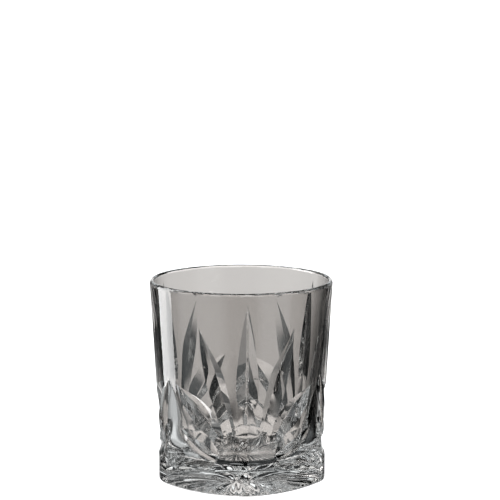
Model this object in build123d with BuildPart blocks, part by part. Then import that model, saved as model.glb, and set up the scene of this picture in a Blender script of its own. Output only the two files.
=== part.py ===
from build123d import *
import math
import os

# Driving dimensions, mm. The glass stands on z = 0, with its axis on Z.
height = 100.0
rim_radius = 45.0
rim_wall = 2.3
rim_rounding = 1.05

# The upper body is a plain cone. Below the shoulder it turns three-sided:
# a soft keel down the middle of each side and a corner between two sides.
shoulder_height = 60.0
shoulder_radius = 42.7
keel_radius = 40.8
side_radius = 40.0
corner_radius = 43.3
sides = 3

# The smooth foot band stands a little proud of the cut pattern above it.
band_height = 13.0
band_ledge = 1.2
band_proud = 0.4

# The foot's edge lifts off the table outside its standing ring: gently at first, then steeply,
# so that it is lowest at a keel and highest at a corner.
standing_radius = 36.0
foot_bend_radius = 40.4
foot_bend_lift = 0.45
foot_envelope_radius = 45.0
foot_envelope_lift = 4.8

# The bowl, turned round inside.
bowl_floor = 12.6
bowl_floor_radius = 34.6
bowl_corner_rounding = 9.0

# The underside: a shallow dome with a cut star on it, inside a flat standing ring.
dome_radius = 31.0
dome_height = 1.6
star_rays = 24
star_depth = 0.9
star_half_width = 1.3
star_inner_radius = 3.0
star_outer_radius = 27.0

# One fan: V-cut leaves that spread from a smooth hub at the foot of each side.
# A leaf is (tip angle, tip height, hub angle, hub height, greatest depth),
# with the angles in degrees from the middle of the side.
centre_leaf = (0.0, 95.0, 0.0, 42.0, 1.5)
side_leaves = (
    (31.0, 81.5, 9.0, 32.0, 1.6),
    (52.0, 53.3, 17.5, 27.5, 1.3),
    (48.0, 31.8, 21.0, 20.2, 1.0),
    (46.0, 22.5, 22.5, 16.5, 0.6),
)
leaf_slope = 0.25
leaf_bar_height = 4.0
deepest_share = 0.58

# The bowl's wall is straight from its floor to the lip.
shoulder_share = (shoulder_height - bowl_floor) / (height - bowl_floor)
shoulder_bowl_radius = bowl_floor_radius + (rim_radius - rim_wall - bowl_floor_radius) * shoulder_share

# A side's middle faces -Y.
front_angle = -90.0
side_angle = 360.0 / sides
half_side = side_angle / 2


def polar(radius, angle, level=0.0):
    """The point at an angle from the middle of the front side."""
    turn = math.radians(front_angle + angle)
    return Vector(radius * math.cos(turn), radius * math.sin(turn), level)


def bowed_outline(keel, middle, corner):
    """A closed ring of arcs, two to a side: keel to corner and corner to keel."""
    for side in range(sides):
        start = side * side_angle
        ThreePointArc(
            polar(keel, start),
            polar(middle, start + half_side / 2),
            polar(corner, start + half_side),
        )
        ThreePointArc(
            polar(corner, start + half_side),
            polar(middle, start + half_side * 3 / 2),
            polar(keel, start + side_angle),
        )


def arc_radius_at(angle, keel, middle, corner):
    """The radius of the bowed outline at an angle, by a parabola through its three points."""
    share = abs(angle) / half_side
    rise = corner - keel
    bow = 2 * (keel + corner) - 4 * middle
    return keel + rise * share - bow * share * (1 - share)


def surface_radius(angle, level):
    """The radius of the uncut outside at an angle from the middle of a side."""
    if level >= shoulder_height:
        share = (level - shoulder_height) / (height - shoulder_height)
        return shoulder_radius + (rim_radius - shoulder_radius) * share
    share = (level - band_height) / (shoulder_height - band_height)
    low = arc_radius_at(angle, keel_radius, side_radius, corner_radius)
    return low + (shoulder_radius - low) * max(share, 0.0)


def leaf_cutter(tip_angle, tip_level, hub_angle, hub_level, depth):
    """A bent V bar. Its edge starts on the surface, dips under it and comes out at the hub."""
    deep_angle = tip_angle + (hub_angle - tip_angle) * deepest_share
    deep_level = tip_level + (hub_level - tip_level) * deepest_share
    tip = polar(surface_radius(tip_angle, tip_level), tip_angle, tip_level)
    hub = polar(surface_radius(hub_angle, hub_level), hub_angle, hub_level)
    deepest = polar(surface_radius(deep_angle, deep_level) - depth, deep_angle, deep_level)
    along = (hub - tip).normalized()
    outward = polar(1.0, deep_angle)
    across = outward.cross(along).normalized()
    half_width = leaf_bar_height / leaf_slope
    with BuildPart() as cutter:
        for edge_point in (tip, deepest, hub):
            with BuildSketch(Plane(origin=edge_point, x_dir=across, z_dir=along)):
                with BuildLine():
                    Polyline(
                        (0, 0),
                        (half_width, leaf_bar_height),
                        (-half_width, leaf_bar_height),
                        close=True,
                    )
                make_face()
        loft(ruled=True)
    return cutter.part


leaf_cutters = [leaf_cutter(*centre_leaf)]
for tip_angle, tip_level, hub_angle, hub_level, depth in side_leaves:
    leaf_cutters.append(leaf_cutter(tip_angle, tip_level, hub_angle, hub_level, depth))
    leaf_cutters.append(leaf_cutter(-tip_angle, tip_level, -hub_angle, hub_level, depth))

# One ray of the star: a V bar lying just under the middle of the dome's edge.
with BuildPart() as star_ray:
    with BuildSketch(Plane.YZ.offset(star_inner_radius)):
        with BuildLine():
            Polyline(
                (0, dome_height + star_depth),
                (star_half_width, 0),
                (-star_half_width, 0),
                close=True,
            )
        make_face()
    with BuildSketch(Plane.YZ.offset(star_outer_radius)):
        with BuildLine():
            Polyline(
                (0, star_depth),
                (star_half_width, 0),
                (-star_half_width, 0),
                close=True,
            )
        make_face()
    loft(ruled=True)

with BuildPart() as tumbler_glass:
    # The three-sided lower body: foot band, ledge, then up to the round shoulder.
    lower_sections = (
        (0.0, band_proud),
        (band_height, band_proud),
        (band_height + band_ledge, 0.0),
    )
    for level, grow in lower_sections:
        with BuildSketch(Plane.XY.offset(level)):
            with BuildLine():
                bowed_outline(keel_radius + grow, side_radius + grow, corner_radius + grow)
            make_face()
    with BuildSketch(Plane.XY.offset(shoulder_height)):
        with BuildLine():
            bowed_outline(shoulder_radius, shoulder_radius, shoulder_radius)
        make_face()
    loft(ruled=True)

    # The lift of the foot's edge.
    with BuildSketch(Plane.XZ):
        with BuildLine():
            Polyline(
                (0, 0),
                (standing_radius, 0),
                (foot_bend_radius, foot_bend_lift),
                (foot_envelope_radius, foot_envelope_lift),
                (foot_envelope_radius, shoulder_height),
                (0, shoulder_height),
                close=True,
            )
        make_face()
    revolve(axis=Axis.Z, mode=Mode.INTERSECT)

    # The bowl in the lower body.
    with BuildSketch(Plane.XZ) as bowl:
        with BuildLine():
            Polyline(
                (0, bowl_floor),
                (bowl_floor_radius, bowl_floor),
                (shoulder_bowl_radius, shoulder_height),
                (0, shoulder_height),
                close=True,
            )
        make_face()
        bowl_corner = bowl.vertices().group_by(Axis.Y)[0].sort_by(Axis.X)[-1]
        fillet(bowl_corner, radius=bowl_corner_rounding)
    revolve(axis=Axis.Z, mode=Mode.SUBTRACT)

    # The round upper wall, with a rounded lip.
    with BuildSketch(Plane.XZ) as upper_wall:
        with BuildLine():
            Polyline(
                (shoulder_bowl_radius, shoulder_height),
                (shoulder_radius, shoulder_height),
                (rim_radius, height),
                (rim_radius - rim_wall, height),
                close=True,
            )
        make_face()
        fillet(upper_wall.vertices().group_by(Axis.Y)[-1], radius=rim_rounding)
    revolve(axis=Axis.Z)

    # The three fans.
    for cutter in leaf_cutters:
        with PolarLocations(0, sides):
            add(cutter, mode=Mode.SUBTRACT)

    # The underside: the dome, then the star.
    with BuildSketch(Plane.XZ):
        with BuildLine():
            ThreePointArc((-dome_radius, 0), (0, dome_height), (dome_radius, 0))
            Line((dome_radius, 0), (-dome_radius, 0))
        make_face()
        split(bisect_by=Plane.YZ)
    revolve(axis=Axis.Z, mode=Mode.SUBTRACT)
    with PolarLocations(0, star_rays):
        add(star_ray.part, mode=Mode.SUBTRACT)

tumbler_glass.part.label = "tumbler_glass"

os.makedirs("parts", exist_ok=True)
export_step(tumbler_glass.part, "parts/tumbler_glass.step")
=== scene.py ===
import math

import bmesh
import bpy
import numpy as np
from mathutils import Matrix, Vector
from mathutils.geometry import delaunay_2d_cdt


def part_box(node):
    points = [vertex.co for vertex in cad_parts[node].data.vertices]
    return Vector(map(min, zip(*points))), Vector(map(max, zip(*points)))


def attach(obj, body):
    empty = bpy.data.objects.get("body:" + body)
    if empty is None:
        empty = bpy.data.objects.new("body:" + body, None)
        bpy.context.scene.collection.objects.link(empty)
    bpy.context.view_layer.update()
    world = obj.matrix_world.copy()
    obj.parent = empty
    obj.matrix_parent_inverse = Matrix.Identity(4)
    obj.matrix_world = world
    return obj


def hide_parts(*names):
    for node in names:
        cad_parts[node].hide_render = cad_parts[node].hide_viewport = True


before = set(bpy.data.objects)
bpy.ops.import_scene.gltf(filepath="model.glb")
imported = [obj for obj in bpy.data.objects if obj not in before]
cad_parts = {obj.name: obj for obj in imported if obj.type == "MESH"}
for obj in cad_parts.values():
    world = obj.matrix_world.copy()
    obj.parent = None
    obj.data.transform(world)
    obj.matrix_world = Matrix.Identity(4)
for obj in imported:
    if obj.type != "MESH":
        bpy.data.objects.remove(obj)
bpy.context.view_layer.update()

# ---------------------------------------------------------------- sizes
# Lengths are in hundredths of the glass's height, so the glass is 100 high.
# Angles are in degrees from the middle of a side, and the front side's middle faces -Y.
NODE = "tumbler_glass"
low_corner, high_corner = (Vector(corner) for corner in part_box(NODE))
UNIT = (high_corner.z - low_corner.z) / 100
AXIS = (low_corner + high_corner) / 2
FRONT = -90.0
SIDES = 3
HALF_SIDE = 60.0

# The body is a round cone. Lower down a three-sided form, with a keel down the middle of each side and
# a corner between two sides, comes out of it, and the foot band stands a little proud of both.
RIM = (high_corner.x - low_corner.x) / 2 / UNIT
TAPER = 0.060
SIDE_RADIUS = 40.4
KEEL_FOOT, KEEL_LEAN = 41.15, 0.014
CORNER_FOOT, CORNER_LEAN = 43.7, 0.0319
CORNER_TOP = 56.0
CREASE_WIDTH = 0.12
BAND_TOP, BAND_DIP, BAND_PROUD = 15.0, 1.2, 0.35
LEDGE = 0.6

# The rounded lip, and the bowl turned round inside.
LIP_START = 98.2
WALL = 2.3
BOWL_FLOOR, BOWL_FLOOR_RADIUS, BOWL_ROUNDING = 12.6, 34.6, 9.0
BOWL_INNERMOST = 2.0

# The foot's lower edge rises from each keel to each corner. Inside it are a flat standing ring and a dome
# with a star, whose rays fade in from the middle and out before the ring.
FOOT_TOP = 5.0
EDGE_ROUNDING, EDGE_END, EDGE_STEP = 0.9, 80, 16
EDGE_LIFT_KEEL, EDGE_LIFT_CORNER, EDGE_LIFT_POWER = 0.7, 3.0, 1.8
RING_OUTER, RING_INNER, RING_DROP_POWER = 36.0, 33.0, 1.3
DOME = 1.6
STAR_RAYS, STAR_DEPTH, STAR_INNER = 24, 1.4, 2.0
STAR_FADE_IN, STAR_FADE_OUT = 14.0, 3.0

# The mesh: its spacing on the cut outside, where one degree spans ARC, and its steps elsewhere.
HALF_STEPS = 64
STEPS = HALF_STEPS * 2 * SIDES
TURNS = [360.0 * i / STEPS for i in range(STEPS)]
SPACING = 0.7
CLEARANCE = SPACING * 0.62
FLAT_RADIUS = 42.0
ARC = math.radians(1.0) * FLAT_RADIUS
RELAX_PASSES = 1500
STAR_STEPS = 20
LIP_STEPS, WALL_STEPS, ROUNDING_STEPS, FLOOR_STEPS = 13, 34, 14, 9
TOLERANCE, MERGE_DISTANCE = 1e-4, 0.01
SHARP_ANGLE = math.radians(5.0)
SHARP_RADIUS = 38.3

# The glass.
GLASS_IOR = 1.51
STAIN_THIN, STAIN_THICK = (0.636, 0.616, 0.598), (0.616, 0.596, 0.579)
CLOUD_SIZE, RIPPLE_SIZE, RIPPLE_DEPTH = 30.0, 12.0, 1.0
FOOT_RIPPLE, WALL_RIPPLE = 0.5, 0.04


# ---------------------------------------------------------------- the outside before it is cut
def cone(z):
    """The radius of the round body."""
    return RIM - TAPER * (100 - z)


def face(angle, z):
    """The radius of the three-sided body: a keel, a flatter middle and a corner."""
    keel = KEEL_FOOT + KEEL_LEAN * z
    corner = np.minimum(CORNER_FOOT, cone(CORNER_TOP) + CORNER_LEAN * (CORNER_TOP - z))
    share = np.abs(angle) / HALF_SIDE
    bow = 2 * (keel + corner) - 4 * SIDE_RADIUS
    return keel + (corner - keel) * share - bow * share * (1 - share)


def soft_max(a, b, width):
    """The larger of two radii, with the crease between them rounded over."""
    overlap = np.maximum(width - np.abs(a - b), 0.0) / width
    return np.maximum(a, b) + overlap * overlap * width / 4


def band_top(angle):
    """The height of the foot band, lower towards the corners."""
    return BAND_TOP - BAND_DIP * (np.abs(angle) / HALF_SIDE) ** 2


def body(angle, z):
    """The radius of the uncut body, a little proud on the foot band."""
    on_band = np.clip((band_top(angle) - z) / LEDGE + 0.5, 0, 1)
    return soft_max(cone(z), face(angle, z), CREASE_WIDTH) + BAND_PROUD * on_band


def off_middle(angle):
    """The angle from the nearest side's middle."""
    return (angle + HALF_SIDE) % (2 * HALF_SIDE) - HALF_SIDE


def place(radius, angle, z):
    """The point in space at a radius, angle and height."""
    turn = math.radians(FRONT + angle)
    x = AXIS.x + radius * math.cos(turn) * UNIT
    y = AXIS.y + radius * math.sin(turn) * UNIT
    return x, y, z * UNIT + low_corner.z


# ---------------------------------------------------------------- the fan on half a side
# Each line is (role, points): a curve through (angle, height) points. An edge is where a leaf meets the
# body or its neighbour, a stop is where a keel ends short, and a leaf's own name marks its keel.
LEAF_SLOPES = {"centre": 0.40, "upper": 0.45, "middle": 0.62, "lower": 0.75, "last": 0.75}
MEET_12, MEET_23 = (20.6, 40.0), (26.5, 29.6)
HUB_01, HUB_12, HUB_23, HUB_34 = (8.3, 33.0), (15.6, 27.8), (20.4, 23.4), (22.4, 18.6)
TIP_0, TIP_1, TIP_2, TIP_3, TIP_4 = (0, 95), (31.2, 82), (52.2, 53.4), (48.5, 32.2), (46.5, 23.0)
FAN = (
    ("edge", (TIP_0, (1.8, 88), (4.3, 77), (6.6, 64), (7.4, 54), (6.6, 47), (4.2, 41.5))),
    ("stop", ((4.2, 41.5), (1.8, 44.5), (0, 47))),
    ("centre", (TIP_0, (0, 68), (0, 47))),
    ("edge", (TIP_1, (27, 76), (21.5, 69), (16.0, 61), (12.0, 49), (9.8, 40), HUB_01)),
    ("upper", (TIP_1, (26.9, 73.5), (21.9, 61.8), (15.7, 46.8), (10.8, 34.5), (10.2, 31.0))),
    ("edge", (TIP_1, (30.8, 72), (29.2, 62), (26.2, 52.5), MEET_12)),
    ("edge", (TIP_2, (43.5, 51.0), (34.0, 48.3), (26.6, 44.4), MEET_12)),
    ("edge", (MEET_12, (18.2, 35.8), HUB_12)),
    ("middle", (TIP_2, (44.0, 48.4), (34.0, 41.3), (25.2, 33.8), (17.6, 27.2))),
    ("edge", (TIP_2, (47.8, 45.6), (41.0, 39.0), (35.0, 34.0), MEET_23)),
    ("edge", (TIP_3, (38.0, 31.8), MEET_23)),
    ("edge", (MEET_23, HUB_23)),
    ("lower", (TIP_3, (38.0, 27.4), (27.0, 22.6), (21.0, 20.4))),
    ("edge", (TIP_3, (42.0, 27.3), (34.0, 22.9), (28.0, 20.4), HUB_34)),
    ("last", (TIP_4, (34.0, 19.0), (23.0, 16.8))),
)


def curve(points, step):
    """Points a step apart on a Catmull-Rom curve through the given ones."""
    knots = [np.array(p, float) for p in points]
    knots = [2 * knots[0] - knots[1]] + knots + [2 * knots[-1] - knots[-2]]
    line = []
    for before, start, end, after in zip(knots, knots[1:], knots[2:], knots[3:]):
        count = max(1, round(np.hypot((end - start)[0] * ARC, (end - start)[1]) / step))
        for i in range(count):
            t = i / count
            line.append(0.5 * (2 * start + (end - before) * t
                               + (2 * before - 5 * start + 4 * end - after) * t * t
                               + (3 * start - before - 3 * end + after) * t ** 3))
    line.append(knots[-2])
    return line


def groove(keel, outlines, slope):
    """The depths along a keel, and points with depths on the straight rulings from it to its leaf's edges."""
    depths, facets = [], []
    for i, spot in enumerate(keel):
        along = (keel[min(i + 1, len(keel) - 1)] - keel[max(i - 1, 0)]) * (ARC, 1)
        reach = (outlines - spot) * (ARC, 1)
        gaps = np.hypot(reach[:, 0], reach[:, 1])
        sides = along[0] * reach[:, 1] - along[1] * reach[:, 0]
        depth = slope * np.min(gaps)
        depths.append(depth)
        for side in (sides > 0, sides < 0):
            if not side.any():
                continue
            edge = outlines[side][np.argmin(gaps[side])]
            count = int(np.min(gaps[side]) / SPACING)
            facets += [(spot + (edge - spot) * k / (count + 1), depth * (1 - k / (count + 1)))
                       for k in range(1, count + 1)]
    return depths, facets


# ---------------------------------------------------------------- half a side as a mesh
class Drawing:
    """Half a side laid flat: points (angle, height), lines between them, and the cut depths known there."""

    def __init__(self):
        self.points = []
        self.lines = []
        self.depths = {}

    def add_point(self, spot, depth):
        self.depths[len(self.points)] = depth
        self.points.append(spot)

    def add_line(self, line, depths):
        first = len(self.points)
        self.points.extend(line)
        self.depths.update({first + i: depth for i, depth in enumerate(depths)})
        self.lines.extend((first + i, first + i + 1) for i in range(len(line) - 1))


def draw_fan(drawing):
    """The leaves: edges at no depth, keels at their own depth, and points on the facets between."""
    outlines = np.array([p for role, knots in FAN if role == "edge" for p in curve(knots, SPACING / 4)])
    for role, knots in FAN:
        line = curve(knots, SPACING)
        if role in LEAF_SLOPES:
            depths, facets = groove(line, outlines, LEAF_SLOPES[role])
            drawing.add_line(line, depths)
            for spot, depth in facets:
                drawing.add_point(spot, depth)
        else:
            drawing.add_line(line, [0.0] * len(line))


def draw_borders(drawing):
    """The band's top and the patch's four sides, all uncut but the one that the centre leaf lies along."""
    angles = [HALF_SIDE * i / HALF_STEPS for i in range(HALF_STEPS + 1)]
    drawing.add_line([np.array((a, band_top(a))) for a in angles], [0.0] * len(angles))
    for z in (FOOT_TOP, LIP_START):
        drawing.add_line([np.array((a, z)) for a in angles], [0.0] * len(angles))
    heights = np.linspace(FOOT_TOP, LIP_START, 1 + round((LIP_START - FOOT_TOP) / SPACING))
    drawing.add_line([np.array((0.0, z)) for z in heights], [])
    drawing.add_line([np.array((HALF_SIDE, z)) for z in heights], [0.0] * len(heights))


def draw_filler(drawing):
    """Staggered rows of free points, wherever they are clear of the drawn ones."""
    drawn = np.array([(p[0] * ARC, p[1]) for p in drawing.points])
    row_gap = SPACING * math.sqrt(3) / 2
    for row in range(1, int((LIP_START - FOOT_TOP) / row_gap)):
        z = FOOT_TOP + row * row_gap
        offset = SPACING / 2 if row % 2 else 0.0
        for x in np.arange(SPACING + offset, HALF_SIDE * ARC - SPACING / 2, SPACING):
            if np.min(np.hypot(drawn[:, 0] - x, drawn[:, 1] - z)) > CLEARANCE:
                drawing.points.append(np.array((x / ARC, z)))


def spread_depths(depth, known, triangles):
    """The known depths, and between them the depths of a skin stretched over them."""
    pairs = {tuple(sorted((tri[k], tri[k - 1]))) for tri in triangles for k in range(3)}
    first, second = np.array(sorted(pairs)).T
    count = len(depth)
    degree = np.bincount(first, minlength=count) + np.bincount(second, minlength=count)
    for _ in range(RELAX_PASSES):
        total = np.bincount(first, depth[second], count) + np.bincount(second, depth[first], count)
        depth = np.where(known, depth, total / degree)
    return depth


def half_side_patch():
    """Half a side as a flat triangle mesh: angles, heights, cut depths and triangles."""
    drawing = Drawing()
    draw_fan(drawing)
    draw_borders(drawing)
    draw_filler(drawing)
    flat = [Vector((p[0] * ARC, p[1])) for p in drawing.points]
    spots, _, triangles, origins, _, _ = delaunay_2d_cdt(flat, drawing.lines, [], 0, TOLERANCE)
    depth = np.zeros(len(spots))
    known = np.zeros(len(spots), bool)
    for i, sources in enumerate(origins):
        given = [drawing.depths[s] for s in sources if s in drawing.depths]
        if given:
            depth[i], known[i] = max(given), True
    angle = np.array([spot.x / ARC for spot in spots])
    height = np.array([spot.y for spot in spots])
    return angle, height, spread_depths(depth, known, triangles), triangles


# ---------------------------------------------------------------- the foot and the bowl
# A row is a function that gives a ring's radius and height at an angle.
def edge_row(turn):
    """A ring on the foot's rounded lower edge, by the turn round it in degrees."""
    turn = math.radians(turn)

    def row(angle):
        local = off_middle(angle)
        share = abs(local) / HALF_SIDE
        lift = EDGE_LIFT_KEEL + (EDGE_LIFT_CORNER - EDGE_LIFT_KEEL) * share ** EDGE_LIFT_POWER
        radius = body(local, FOOT_TOP) - EDGE_ROUNDING * (1 - math.cos(turn))
        return radius, lift + EDGE_ROUNDING * (1 - math.sin(turn))
    return row


def ring_row(share):
    """A ring between the foot's edge and the standing ring, by its share of the way inwards."""
    def row(angle):
        start_radius, start_z = edge_row(EDGE_END)(angle)
        return start_radius + (RING_OUTER - start_radius) * share, start_z * (1 - share) ** RING_DROP_POWER
    return row


def star_row(radius):
    """A ring on the dome, waved by the star's rays."""
    def row(angle):
        dome = DOME * (1 - (radius / RING_INNER) ** 2)
        wave = (1 + math.cos(math.radians(angle * STAR_RAYS))) / 2
        fade = min(1.0, (radius - STAR_INNER) / STAR_FADE_IN, (RING_INNER - radius) / STAR_FADE_OUT)
        return radius, dome + STAR_DEPTH * wave * max(fade, 0.0)
    return row


def foot_rows():
    """Rings from under the patch round the foot's edge to the middle of the underside."""
    rows = [edge_row(turn) for turn in range(0, EDGE_END + 1, EDGE_STEP)]
    rows += [ring_row(share) for share in (0.25, 0.5, 0.75, 1.0)]
    rows += [star_row(radius) for radius in np.linspace(RING_INNER, STAR_INNER, STAR_STEPS)]
    return rows


def bowl_rows():
    """Rings from the lip down the bowl's wall to its floor."""
    outer = cone(LIP_START)
    lip_radius = WALL / 2
    profile = []
    for turn in np.linspace(0, math.pi, LIP_STEPS)[1:]:
        radius = outer - lip_radius + lip_radius * math.cos(turn)
        profile.append((radius, LIP_START + (100 - LIP_START) * math.sin(turn)))
    wall_top = profile[-1]
    lean = math.atan2(wall_top[0] - BOWL_FLOOR_RADIUS, wall_top[1] - BOWL_FLOOR)
    centre_z = BOWL_FLOOR + BOWL_ROUNDING
    centre_radius = BOWL_FLOOR_RADIUS - BOWL_ROUNDING * math.tan((math.pi / 2 - lean) / 2)

    def rounding(turn):
        return centre_radius + BOWL_ROUNDING * math.cos(turn), centre_z + BOWL_ROUNDING * math.sin(turn)

    wall_end = rounding(-lean)
    for share in np.linspace(0, 1, WALL_STEPS)[1:-1]:
        profile.append((wall_top[0] + (wall_end[0] - wall_top[0]) * share,
                        wall_top[1] + (wall_end[1] - wall_top[1]) * share))
    profile += [rounding(turn) for turn in np.linspace(-lean, -math.pi / 2, ROUNDING_STEPS)]
    floor_radii = np.linspace(centre_radius, BOWL_INNERMOST, FLOOR_STEPS)[1:]
    profile += [(radius, BOWL_FLOOR) for radius in floor_radii]
    return [lambda angle, point=point: point for point in profile]


# ---------------------------------------------------------------- the glass
def add_sides(mesh):
    """The cut outside between foot and lip: half a side, mirrored, and repeated round the axis."""
    angle, height, depth, triangles = half_side_patch()
    radius = body(angle, height) - depth
    for side in range(SIDES):
        for mirror in (1, -1):
            verts = [mesh.verts.new(place(r, side * 2 * HALF_SIDE + mirror * a, z))
                     for r, a, z in zip(radius, angle, height)]
            for triangle in triangles:
                ordered = triangle if mirror == 1 else reversed(triangle)
                mesh.faces.new([verts[i] for i in ordered])


def add_ring(mesh, row):
    """A ring of vertices along a row."""
    ring = []
    for angle in TURNS:
        radius, z = row(angle)
        ring.append(mesh.verts.new(place(radius, angle, z)))
    return ring


def add_skin(mesh, rows, centre_z, inward):
    """Faces from row to row, closed by a point on the axis."""
    ring = add_ring(mesh, rows[0])
    for row in rows[1:]:
        following = add_ring(mesh, row)
        for i in range(STEPS):
            j = (i + 1) % STEPS
            quad = (ring[i], ring[j], following[j], following[i])
            mesh.faces.new(quad if inward else quad[::-1])
        ring = following
    centre = mesh.verts.new(place(0, 0, centre_z))
    for i in range(STEPS):
        triangle = (ring[i], ring[(i + 1) % STEPS], centre)
        mesh.faces.new(triangle if inward else triangle[::-1])


def shade(mesh):
    """Smooth shading, with crisp creases on the cut outside."""
    for facet in mesh.faces:
        facet.smooth = True
    for edge in mesh.edges:
        bottom = min(v.co.z for v in edge.verts) / UNIT
        inside = min(math.hypot(v.co.x, v.co.y) for v in edge.verts) / UNIT
        on_sides = edge.is_manifold and bottom > FOOT_TOP and inside > SHARP_RADIUS
        if on_sides and edge.calc_face_angle(0) > SHARP_ANGLE:
            edge.smooth = False


def make_glass():
    """The whole glass as one closed mesh: its sides, its lip and bowl, and its foot."""
    mesh = bmesh.new()
    add_sides(mesh)
    top_row = [lambda angle: (cone(LIP_START), LIP_START)]
    add_skin(mesh, top_row + bowl_rows(), BOWL_FLOOR, inward=True)
    foot_row = [lambda angle: (body(off_middle(angle), FOOT_TOP), FOOT_TOP)]
    add_skin(mesh, foot_row + foot_rows(), DOME, inward=False)
    bmesh.ops.remove_doubles(mesh, verts=mesh.verts, dist=UNIT * MERGE_DISTANCE)
    bmesh.ops.recalc_face_normals(mesh, faces=mesh.faces)
    shade(mesh)
    data = bpy.data.meshes.new("tumbler")
    mesh.to_mesh(data)
    mesh.free()
    piece = bpy.data.objects.new("tumbler", data)
    bpy.context.scene.collection.objects.link(piece)
    return piece


def add_noise(tree, coords, size):
    """Smooth noise with a grain of the given size."""
    node = tree.nodes.new("ShaderNodeTexNoise")
    node.inputs["Scale"].default_value = 1 / (size * UNIT)
    node.inputs["Detail"].default_value = 0.0
    tree.links.new(coords, node.inputs["Vector"])
    return node.outputs[0]


def glass_material():
    """Clear glass with a thin warm-grey stain, faintly cloudy, and a skin that ripples at the thick foot."""
    material = bpy.data.materials.new("smoke_glass")
    material.use_nodes = True
    tree = material.node_tree
    nodes, links = tree.nodes, tree.links
    shader = nodes["Principled BSDF"]
    shader.inputs["Transmission Weight"].default_value = 1.0
    shader.inputs["Roughness"].default_value = 0.0
    shader.inputs["IOR"].default_value = GLASS_IOR
    coords = nodes.new("ShaderNodeTexCoord").outputs["Object"]

    stain = nodes.new("ShaderNodeMix")
    stain.data_type = "RGBA"
    stain.inputs[6].default_value = (*STAIN_THIN, 1)
    stain.inputs[7].default_value = (*STAIN_THICK, 1)
    links.new(add_noise(tree, coords, CLOUD_SIZE), stain.inputs[0])
    links.new(stain.outputs[2], shader.inputs["Base Color"])

    split = nodes.new("ShaderNodeSeparateXYZ")
    links.new(coords, split.inputs["Vector"])
    strength = nodes.new("ShaderNodeMapRange")
    strength.inputs["From Min"].default_value = low_corner.z + (BAND_TOP - BAND_DIP) * UNIT
    strength.inputs["From Max"].default_value = low_corner.z + (BAND_TOP + 3 * BAND_DIP) * UNIT
    strength.inputs["To Min"].default_value = FOOT_RIPPLE
    strength.inputs["To Max"].default_value = WALL_RIPPLE
    links.new(split.outputs["Z"], strength.inputs["Value"])
    skin = nodes.new("ShaderNodeBump")
    skin.inputs["Distance"].default_value = RIPPLE_DEPTH * UNIT
    links.new(strength.outputs["Result"], skin.inputs["Strength"])
    links.new(add_noise(tree, coords, RIPPLE_SIZE), skin.inputs["Height"])
    links.new(skin.outputs["Normal"], shader.inputs["Normal"])
    return material


glass = make_glass()
glass.data.materials.append(glass_material())
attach(glass, "root")
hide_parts(NODE)


# ---------------------------------------------------------------- stage
# The camera looks at the front side from four degrees to the left of its middle.
VIEW_TURN = math.radians(-4.0)
away = Vector((-math.sin(VIEW_TURN), math.cos(VIEW_TURN), 0))
aside = Vector((math.cos(VIEW_TURN), math.sin(VIEW_TURN), 0))

# The floor, in metres. It lies just under the glass.
FLOOR_REACH, FLOOR_GAP = 12.0, 0.0002
FLOOR_GREY, FLOOR_GLOW = 0.9, 1.2
STAGE_ROUGHNESS = 0.9

# The softbox that makes the white strip on the left wall. Its ends are places to the right of the glass and
# behind it as the camera sees them, in metres.
SOFTBOX_NEAR, SOFTBOX_FAR = (-0.186, -0.001), (-0.223, 0.128)
SOFTBOX_BOTTOM, SOFTBOX_TOP = -0.5, 0.9
SOFTBOX_GLOW = 6.3


def glowing_plane(name, corners, grey, glow):
    """A plain rectangle of the stage."""
    material = bpy.data.materials.new(name)
    material.use_nodes = True
    shader = material.node_tree.nodes["Principled BSDF"]
    shader.inputs["Base Color"].default_value = (grey, grey, grey, 1)
    shader.inputs["Roughness"].default_value = STAGE_ROUGHNESS
    shader.inputs["Specular IOR Level"].default_value = 0.0
    shader.inputs["Emission Color"].default_value = (1, 1, 1, 1)
    shader.inputs["Emission Strength"].default_value = glow
    data = bpy.data.meshes.new(name)
    data.from_pydata([Vector(c) for c in corners], [], [(0, 1, 2, 3)])
    plane = bpy.data.objects.new(name, data)
    plane.data.materials.append(material)
    bpy.context.scene.collection.objects.link(plane)
    return plane


def make_floor():
    """A white floor that the glass neither mirrors nor bends, so its foot shows only the studio."""
    corners = [(x * FLOOR_REACH, y * FLOOR_REACH, 0) for x, y in ((-1, -1), (1, -1), (1, 1), (-1, 1))]
    floor = glowing_plane("floor", corners, FLOOR_GREY, FLOOR_GLOW)
    floor.location.z = low_corner.z - FLOOR_GAP
    floor.visible_transmission = False
    floor.visible_glossy = False


def make_softbox():
    """An upright glowing card that shows only in reflections."""
    near, far = (aside * spot[0] + away * spot[1] for spot in (SOFTBOX_NEAR, SOFTBOX_FAR))
    bottom, top = Vector((0, 0, SOFTBOX_BOTTOM)), Vector((0, 0, SOFTBOX_TOP))
    corners = (near + bottom, far + bottom, far + top, near + top)
    softbox = glowing_plane("softbox", corners, 0.0, SOFTBOX_GLOW)
    softbox.visible_camera = False
    softbox.visible_diffuse = False
    softbox.visible_shadow = False
    softbox.visible_transmission = False


make_floor()
make_softbox()

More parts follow.
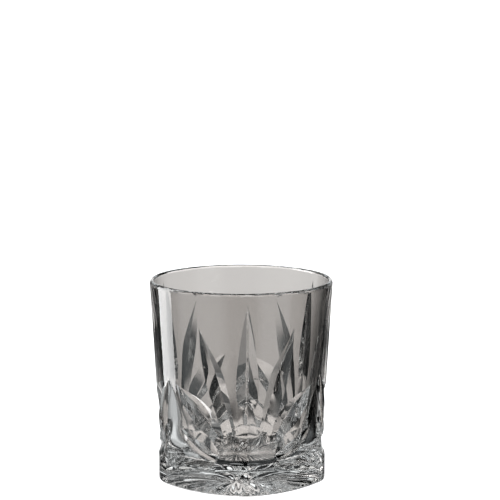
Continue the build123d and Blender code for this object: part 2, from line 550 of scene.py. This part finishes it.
# ---------------------------------------------------------------- studio
# The studio's brightness round the compass, as (degrees, level), from straight behind the glass and right
# positive. There are three bands, for directions that are level or a little up, a little down, and well down.
HIGH_STUDIO = ((-180, 0.02), (-165, 0.05), (-145, 0.5), (-105, 0.9), (-66, 0.9), (-62, 0.3), (-50, 0.6),
               (-38, 0.02), (-18, 0.1), (-12, 1.4), (12, 1.4), (18, 0.2), (30, 0.6), (42, 0.01), (60, 0.4),
               (75, 0.01), (110, 0.01), (125, 0.7), (145, 0.7), (165, 0.02), (180, 0.02))
LOW_STUDIO = ((-180, 0.03), (-165, 0.03), (-150, 0.6), (-105, 0.8), (-97, 0.8), (-90, 0.35), (-72, 0.35),
              (-66, 1.3), (-57, 1.2), (-51, 0.0), (-22, 0.0), (-17, 0.12), (-13, 0.4), (-9, 0.75), (-5, 1.0),
              (4, 1.0), (7, 0.8), (10, 0.5), (14, 0.15), (18, 0.01), (45, 0.0), (60, 0.06), (75, 0.0),
              (108, 0.03), (120, 0.8), (150, 0.8), (162, 0.03), (180, 0.03))
GROUND_STUDIO = ((-180, 0.1), (-150, 0.9), (-50, 0.8), (-36, 0.45), (-22, 0.3), (-12, 1.6), (12, 1.6),
                 (20, 0.4), (30, 0.0), (70, 0.0), (85, 0.8), (155, 0.8), (180, 0.1))

# Above is a roof of soft bright patches on black. Below is the table, with a faint glow straight down.
ROOF_DARK, ROOF_BRIGHT = 0.0, 1.9
PATCH_SCALE, PATCH_EDGE = 2.6, (0.53, 0.60)
TABLE_LEVEL, STRAIGHT_DOWN_LEVEL = 0.0, 0.4

# Where one band gives way to the next, as the z of the direction: 1 straight up, -1 straight down.
ROOF_BLEND, LOW_BLEND, GROUND_BLEND = (0.14, 0.26), (-0.12, -0.02), (-0.31, -0.44)
TABLE_BLEND, STRAIGHT_DOWN_BLEND = (-0.72, -0.82), (-0.988, -0.999)

# All but the light from straight behind is slightly cool, and the camera sees plain white.
COOL, COOL_FROM = (0.94, 1.0, 1.03), 16
BACKDROP_LEVEL = 1.3


def cool(level):
    """A grey level with the studio's cool tint."""
    return (*(level * share for share in COOL), 1)


def add_ramp(tree, stops, compass):
    """A level for each direction of the compass."""
    node = tree.nodes.new("ShaderNodeValToRGB")
    elements = node.color_ramp.elements
    elements.remove(elements[-1])
    for number, (degrees, level) in enumerate(stops):
        spot = (degrees + 180) / 360
        stop = elements.new(spot) if number else elements[0]
        stop.position = spot
        stop.color = (level, level, level, 1) if abs(degrees) < COOL_FROM else cool(level)
    tree.links.new(compass, node.inputs["Fac"])
    return node.outputs["Color"]


def add_smooth_step(tree, value, start, end):
    """A share that eases from 0 to 1 while the value goes from start to end."""
    node = tree.nodes.new("ShaderNodeMapRange")
    node.interpolation_type = "SMOOTHSTEP"
    node.inputs["From Min"].default_value = start
    node.inputs["From Max"].default_value = end
    tree.links.new(value, node.inputs["Value"])
    return node.outputs["Result"]


def add_mix(tree, share, first, second):
    """A mix of two colours, each of them a socket or a level."""
    node = tree.nodes.new("ShaderNodeMix")
    node.data_type = "RGBA"
    tree.links.new(share, node.inputs[0])
    for number, source in ((6, first), (7, second)):
        if isinstance(source, float):
            node.inputs[number].default_value = cool(source)
        else:
            tree.links.new(source, node.inputs[number])
    return node.outputs[2]


def add_direction(tree, coords):
    """The direction's place round the compass, from 0 to 1 with straight behind at 0.5, and its z."""
    turn = tree.nodes.new("ShaderNodeVectorRotate")
    turn.rotation_type = "Z_AXIS"
    turn.inputs["Angle"].default_value = -VIEW_TURN
    split = tree.nodes.new("ShaderNodeSeparateXYZ")
    angle = tree.nodes.new("ShaderNodeMath")
    angle.operation = "ARCTAN2"
    share = tree.nodes.new("ShaderNodeMapRange")
    share.inputs["From Min"].default_value = -math.pi
    share.inputs["From Max"].default_value = math.pi
    tree.links.new(coords, turn.inputs["Vector"])
    tree.links.new(turn.outputs["Vector"], split.inputs["Vector"])
    tree.links.new(split.outputs["X"], angle.inputs[0])
    tree.links.new(split.outputs["Y"], angle.inputs[1])
    tree.links.new(angle.outputs[0], share.inputs["Value"])
    return share.outputs["Result"], split.outputs["Z"]


def add_roof(tree, coords):
    """Soft bright patches on black."""
    patches = tree.nodes.new("ShaderNodeTexNoise")
    patches.inputs["Scale"].default_value = PATCH_SCALE
    patches.inputs["Detail"].default_value = 0.0
    tree.links.new(coords, patches.inputs["Vector"])
    return add_mix(tree, add_smooth_step(tree, patches.outputs[0], *PATCH_EDGE), ROOF_DARK, ROOF_BRIGHT)


def studio_world():
    """Soft grey light that depends on the direction only, and plain white where the camera sees it."""
    world = bpy.data.worlds.new("studio")
    bpy.context.scene.world = world
    world.use_nodes = True
    tree = world.node_tree
    coords = tree.nodes.new("ShaderNodeTexCoord").outputs["Generated"]
    compass, up = add_direction(tree, coords)
    low = add_ramp(tree, LOW_STUDIO, compass)
    ground = add_ramp(tree, GROUND_STUDIO, compass)
    room = add_mix(tree, add_smooth_step(tree, up, *GROUND_BLEND), low, ground)
    room = add_mix(tree, add_smooth_step(tree, up, *LOW_BLEND), room, add_ramp(tree, HIGH_STUDIO, compass))
    room = add_mix(tree, add_smooth_step(tree, up, *ROOF_BLEND), room, add_roof(tree, coords))
    room = add_mix(tree, add_smooth_step(tree, up, *TABLE_BLEND), room, TABLE_LEVEL)
    room = add_mix(tree, add_smooth_step(tree, up, *STRAIGHT_DOWN_BLEND), room, STRAIGHT_DOWN_LEVEL)
    seen = tree.nodes.new("ShaderNodeLightPath").outputs["Is Camera Ray"]
    tree.links.new(add_mix(tree, seen, room, BACKDROP_LEVEL), tree.nodes["Background"].inputs["Color"])


studio_world()

# ---------------------------------------------------------------- camera
# The photograph's viewing angle: the lens in millimetres, the rest in hundredths of the glass's height.
LENS, SENSOR = 178.9, 36.0
CAMERA_DISTANCE, CAMERA_HEIGHT = 1200, 299.7
AIM_HEIGHT, AIM_ASIDE = 114.2, 4.3


def make_camera():
    """A camera in front of the glass and above it, aimed over it so that it stands low in the frame."""
    data = bpy.data.cameras.new("camera")
    data.lens = LENS
    data.sensor_width = SENSOR
    camera = bpy.data.objects.new("camera", data)
    bpy.context.scene.collection.objects.link(camera)
    camera.location = Vector((AXIS.x, AXIS.y, low_corner.z + CAMERA_HEIGHT * UNIT))
    camera.location -= away * CAMERA_DISTANCE * UNIT
    target = Vector((AXIS.x, AXIS.y, low_corner.z + AIM_HEIGHT * UNIT)) + aside * AIM_ASIDE * UNIT
    camera.rotation_euler = (target - camera.location).to_track_quat("-Z", "Y").to_euler()
    return camera


scene = bpy.context.scene
scene.camera = make_camera()
scene.view_settings.view_transform = "Standard"
scene.cycles.max_bounces = 32
scene.cycles.transmission_bounces = 32
scene.cycles.glossy_bounces = 16
scene.cycles.diffuse_bounces = 3
